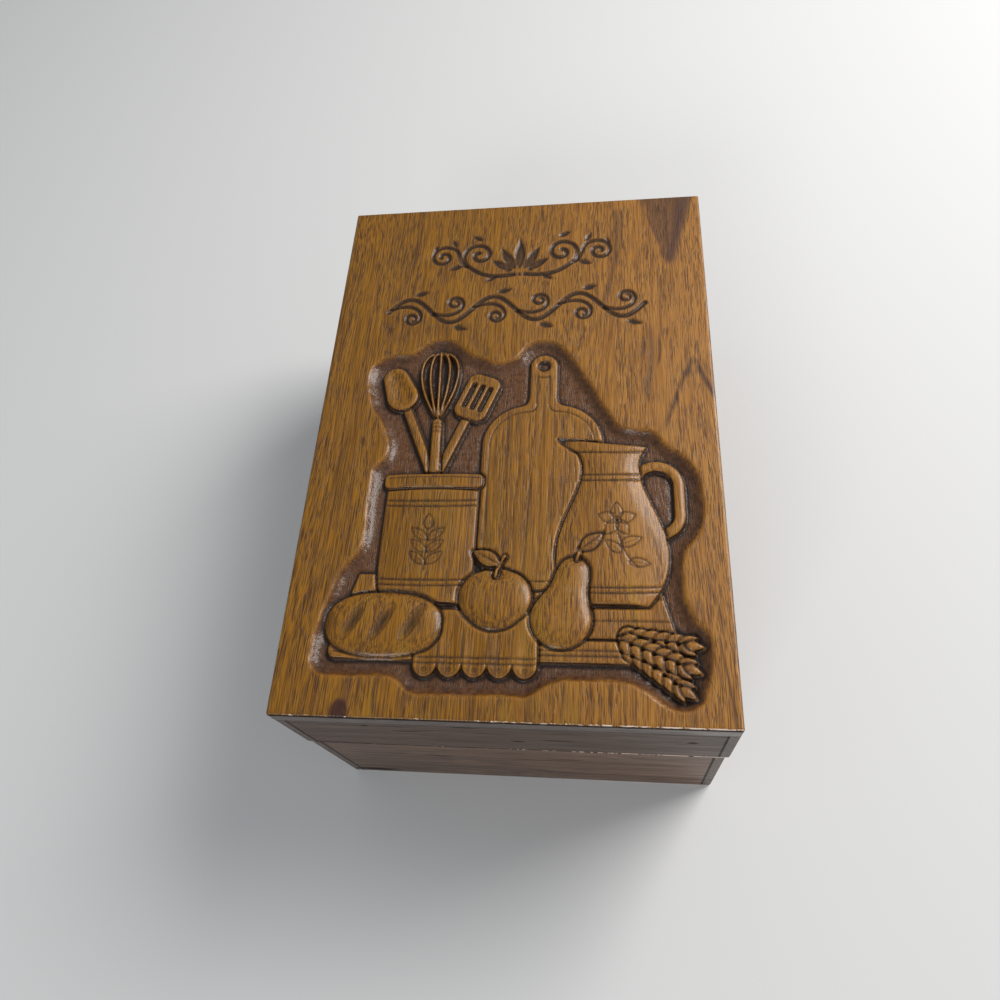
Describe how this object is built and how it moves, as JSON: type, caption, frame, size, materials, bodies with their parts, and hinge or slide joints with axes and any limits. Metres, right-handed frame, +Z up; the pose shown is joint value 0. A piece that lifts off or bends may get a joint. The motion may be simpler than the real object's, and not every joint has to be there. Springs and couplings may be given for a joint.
{
  "type": "recipe card box",
  "caption": "Hinged wooden box for recipe cards: rabbeted boards, a deep lid whose thick top is carved with a kitchen still life, and brass butt hinges at the back.",
  "frame": {"origin": "centre of the underside of the base, midway between its front and back faces", "axes": "+X to the right seen from the front, +Y from the front to the hinged back, +Z up out of the carved face of the lid"},
  "size_m": [0.168, 0.2491, 0.117],
  "materials": {
    "carved_top_wood": "golden brown stained and varnished wood, glossy, straight dark grain, darker stain in the carved ground",
    "board_wood": "dark brown stained and varnished wood, satin, horizontal grain",
    "panel_wood": "brown stained thin panel, satin",
    "hinge_brass": "aged brass, satin",
    "brad_steel": "dull steel"
  },
  "bodies": {
    "base": {"base_front_board": "board_wood", "base_back_board": "board_wood", "base_left_board": "board_wood", "base_right_board": "board_wood", "base_bottom_panel": "panel_wood", "bottom_panel_brads": "brad_steel", "left_hinge_base_leaf": "hinge_brass", "left_hinge_pin": "hinge_brass", "left_hinge_base_screws": "hinge_brass", "right_hinge_base_leaf": "hinge_brass", "right_hinge_pin": "hinge_brass", "right_hinge_base_screws": "hinge_brass"},
    "lid": {"lid_top_board": "carved_top_wood", "lid_front_rail": "board_wood", "lid_back_rail": "board_wood", "lid_left_rail": "board_wood", "lid_right_rail": "board_wood", "left_hinge_lid_leaf": "hinge_brass", "left_hinge_lid_screws": "hinge_brass", "right_hinge_lid_leaf": "hinge_brass", "right_hinge_lid_screws": "hinge_brass"}
  },
  "joints": [
    {"name": "lid_hinge", "type": "hinge", "parent": "base", "child": "lid", "pos_m": [0, 0.124, 0.06835], "axis": [-1, 0, 0], "range_deg": [0, 180]}
  ]
}
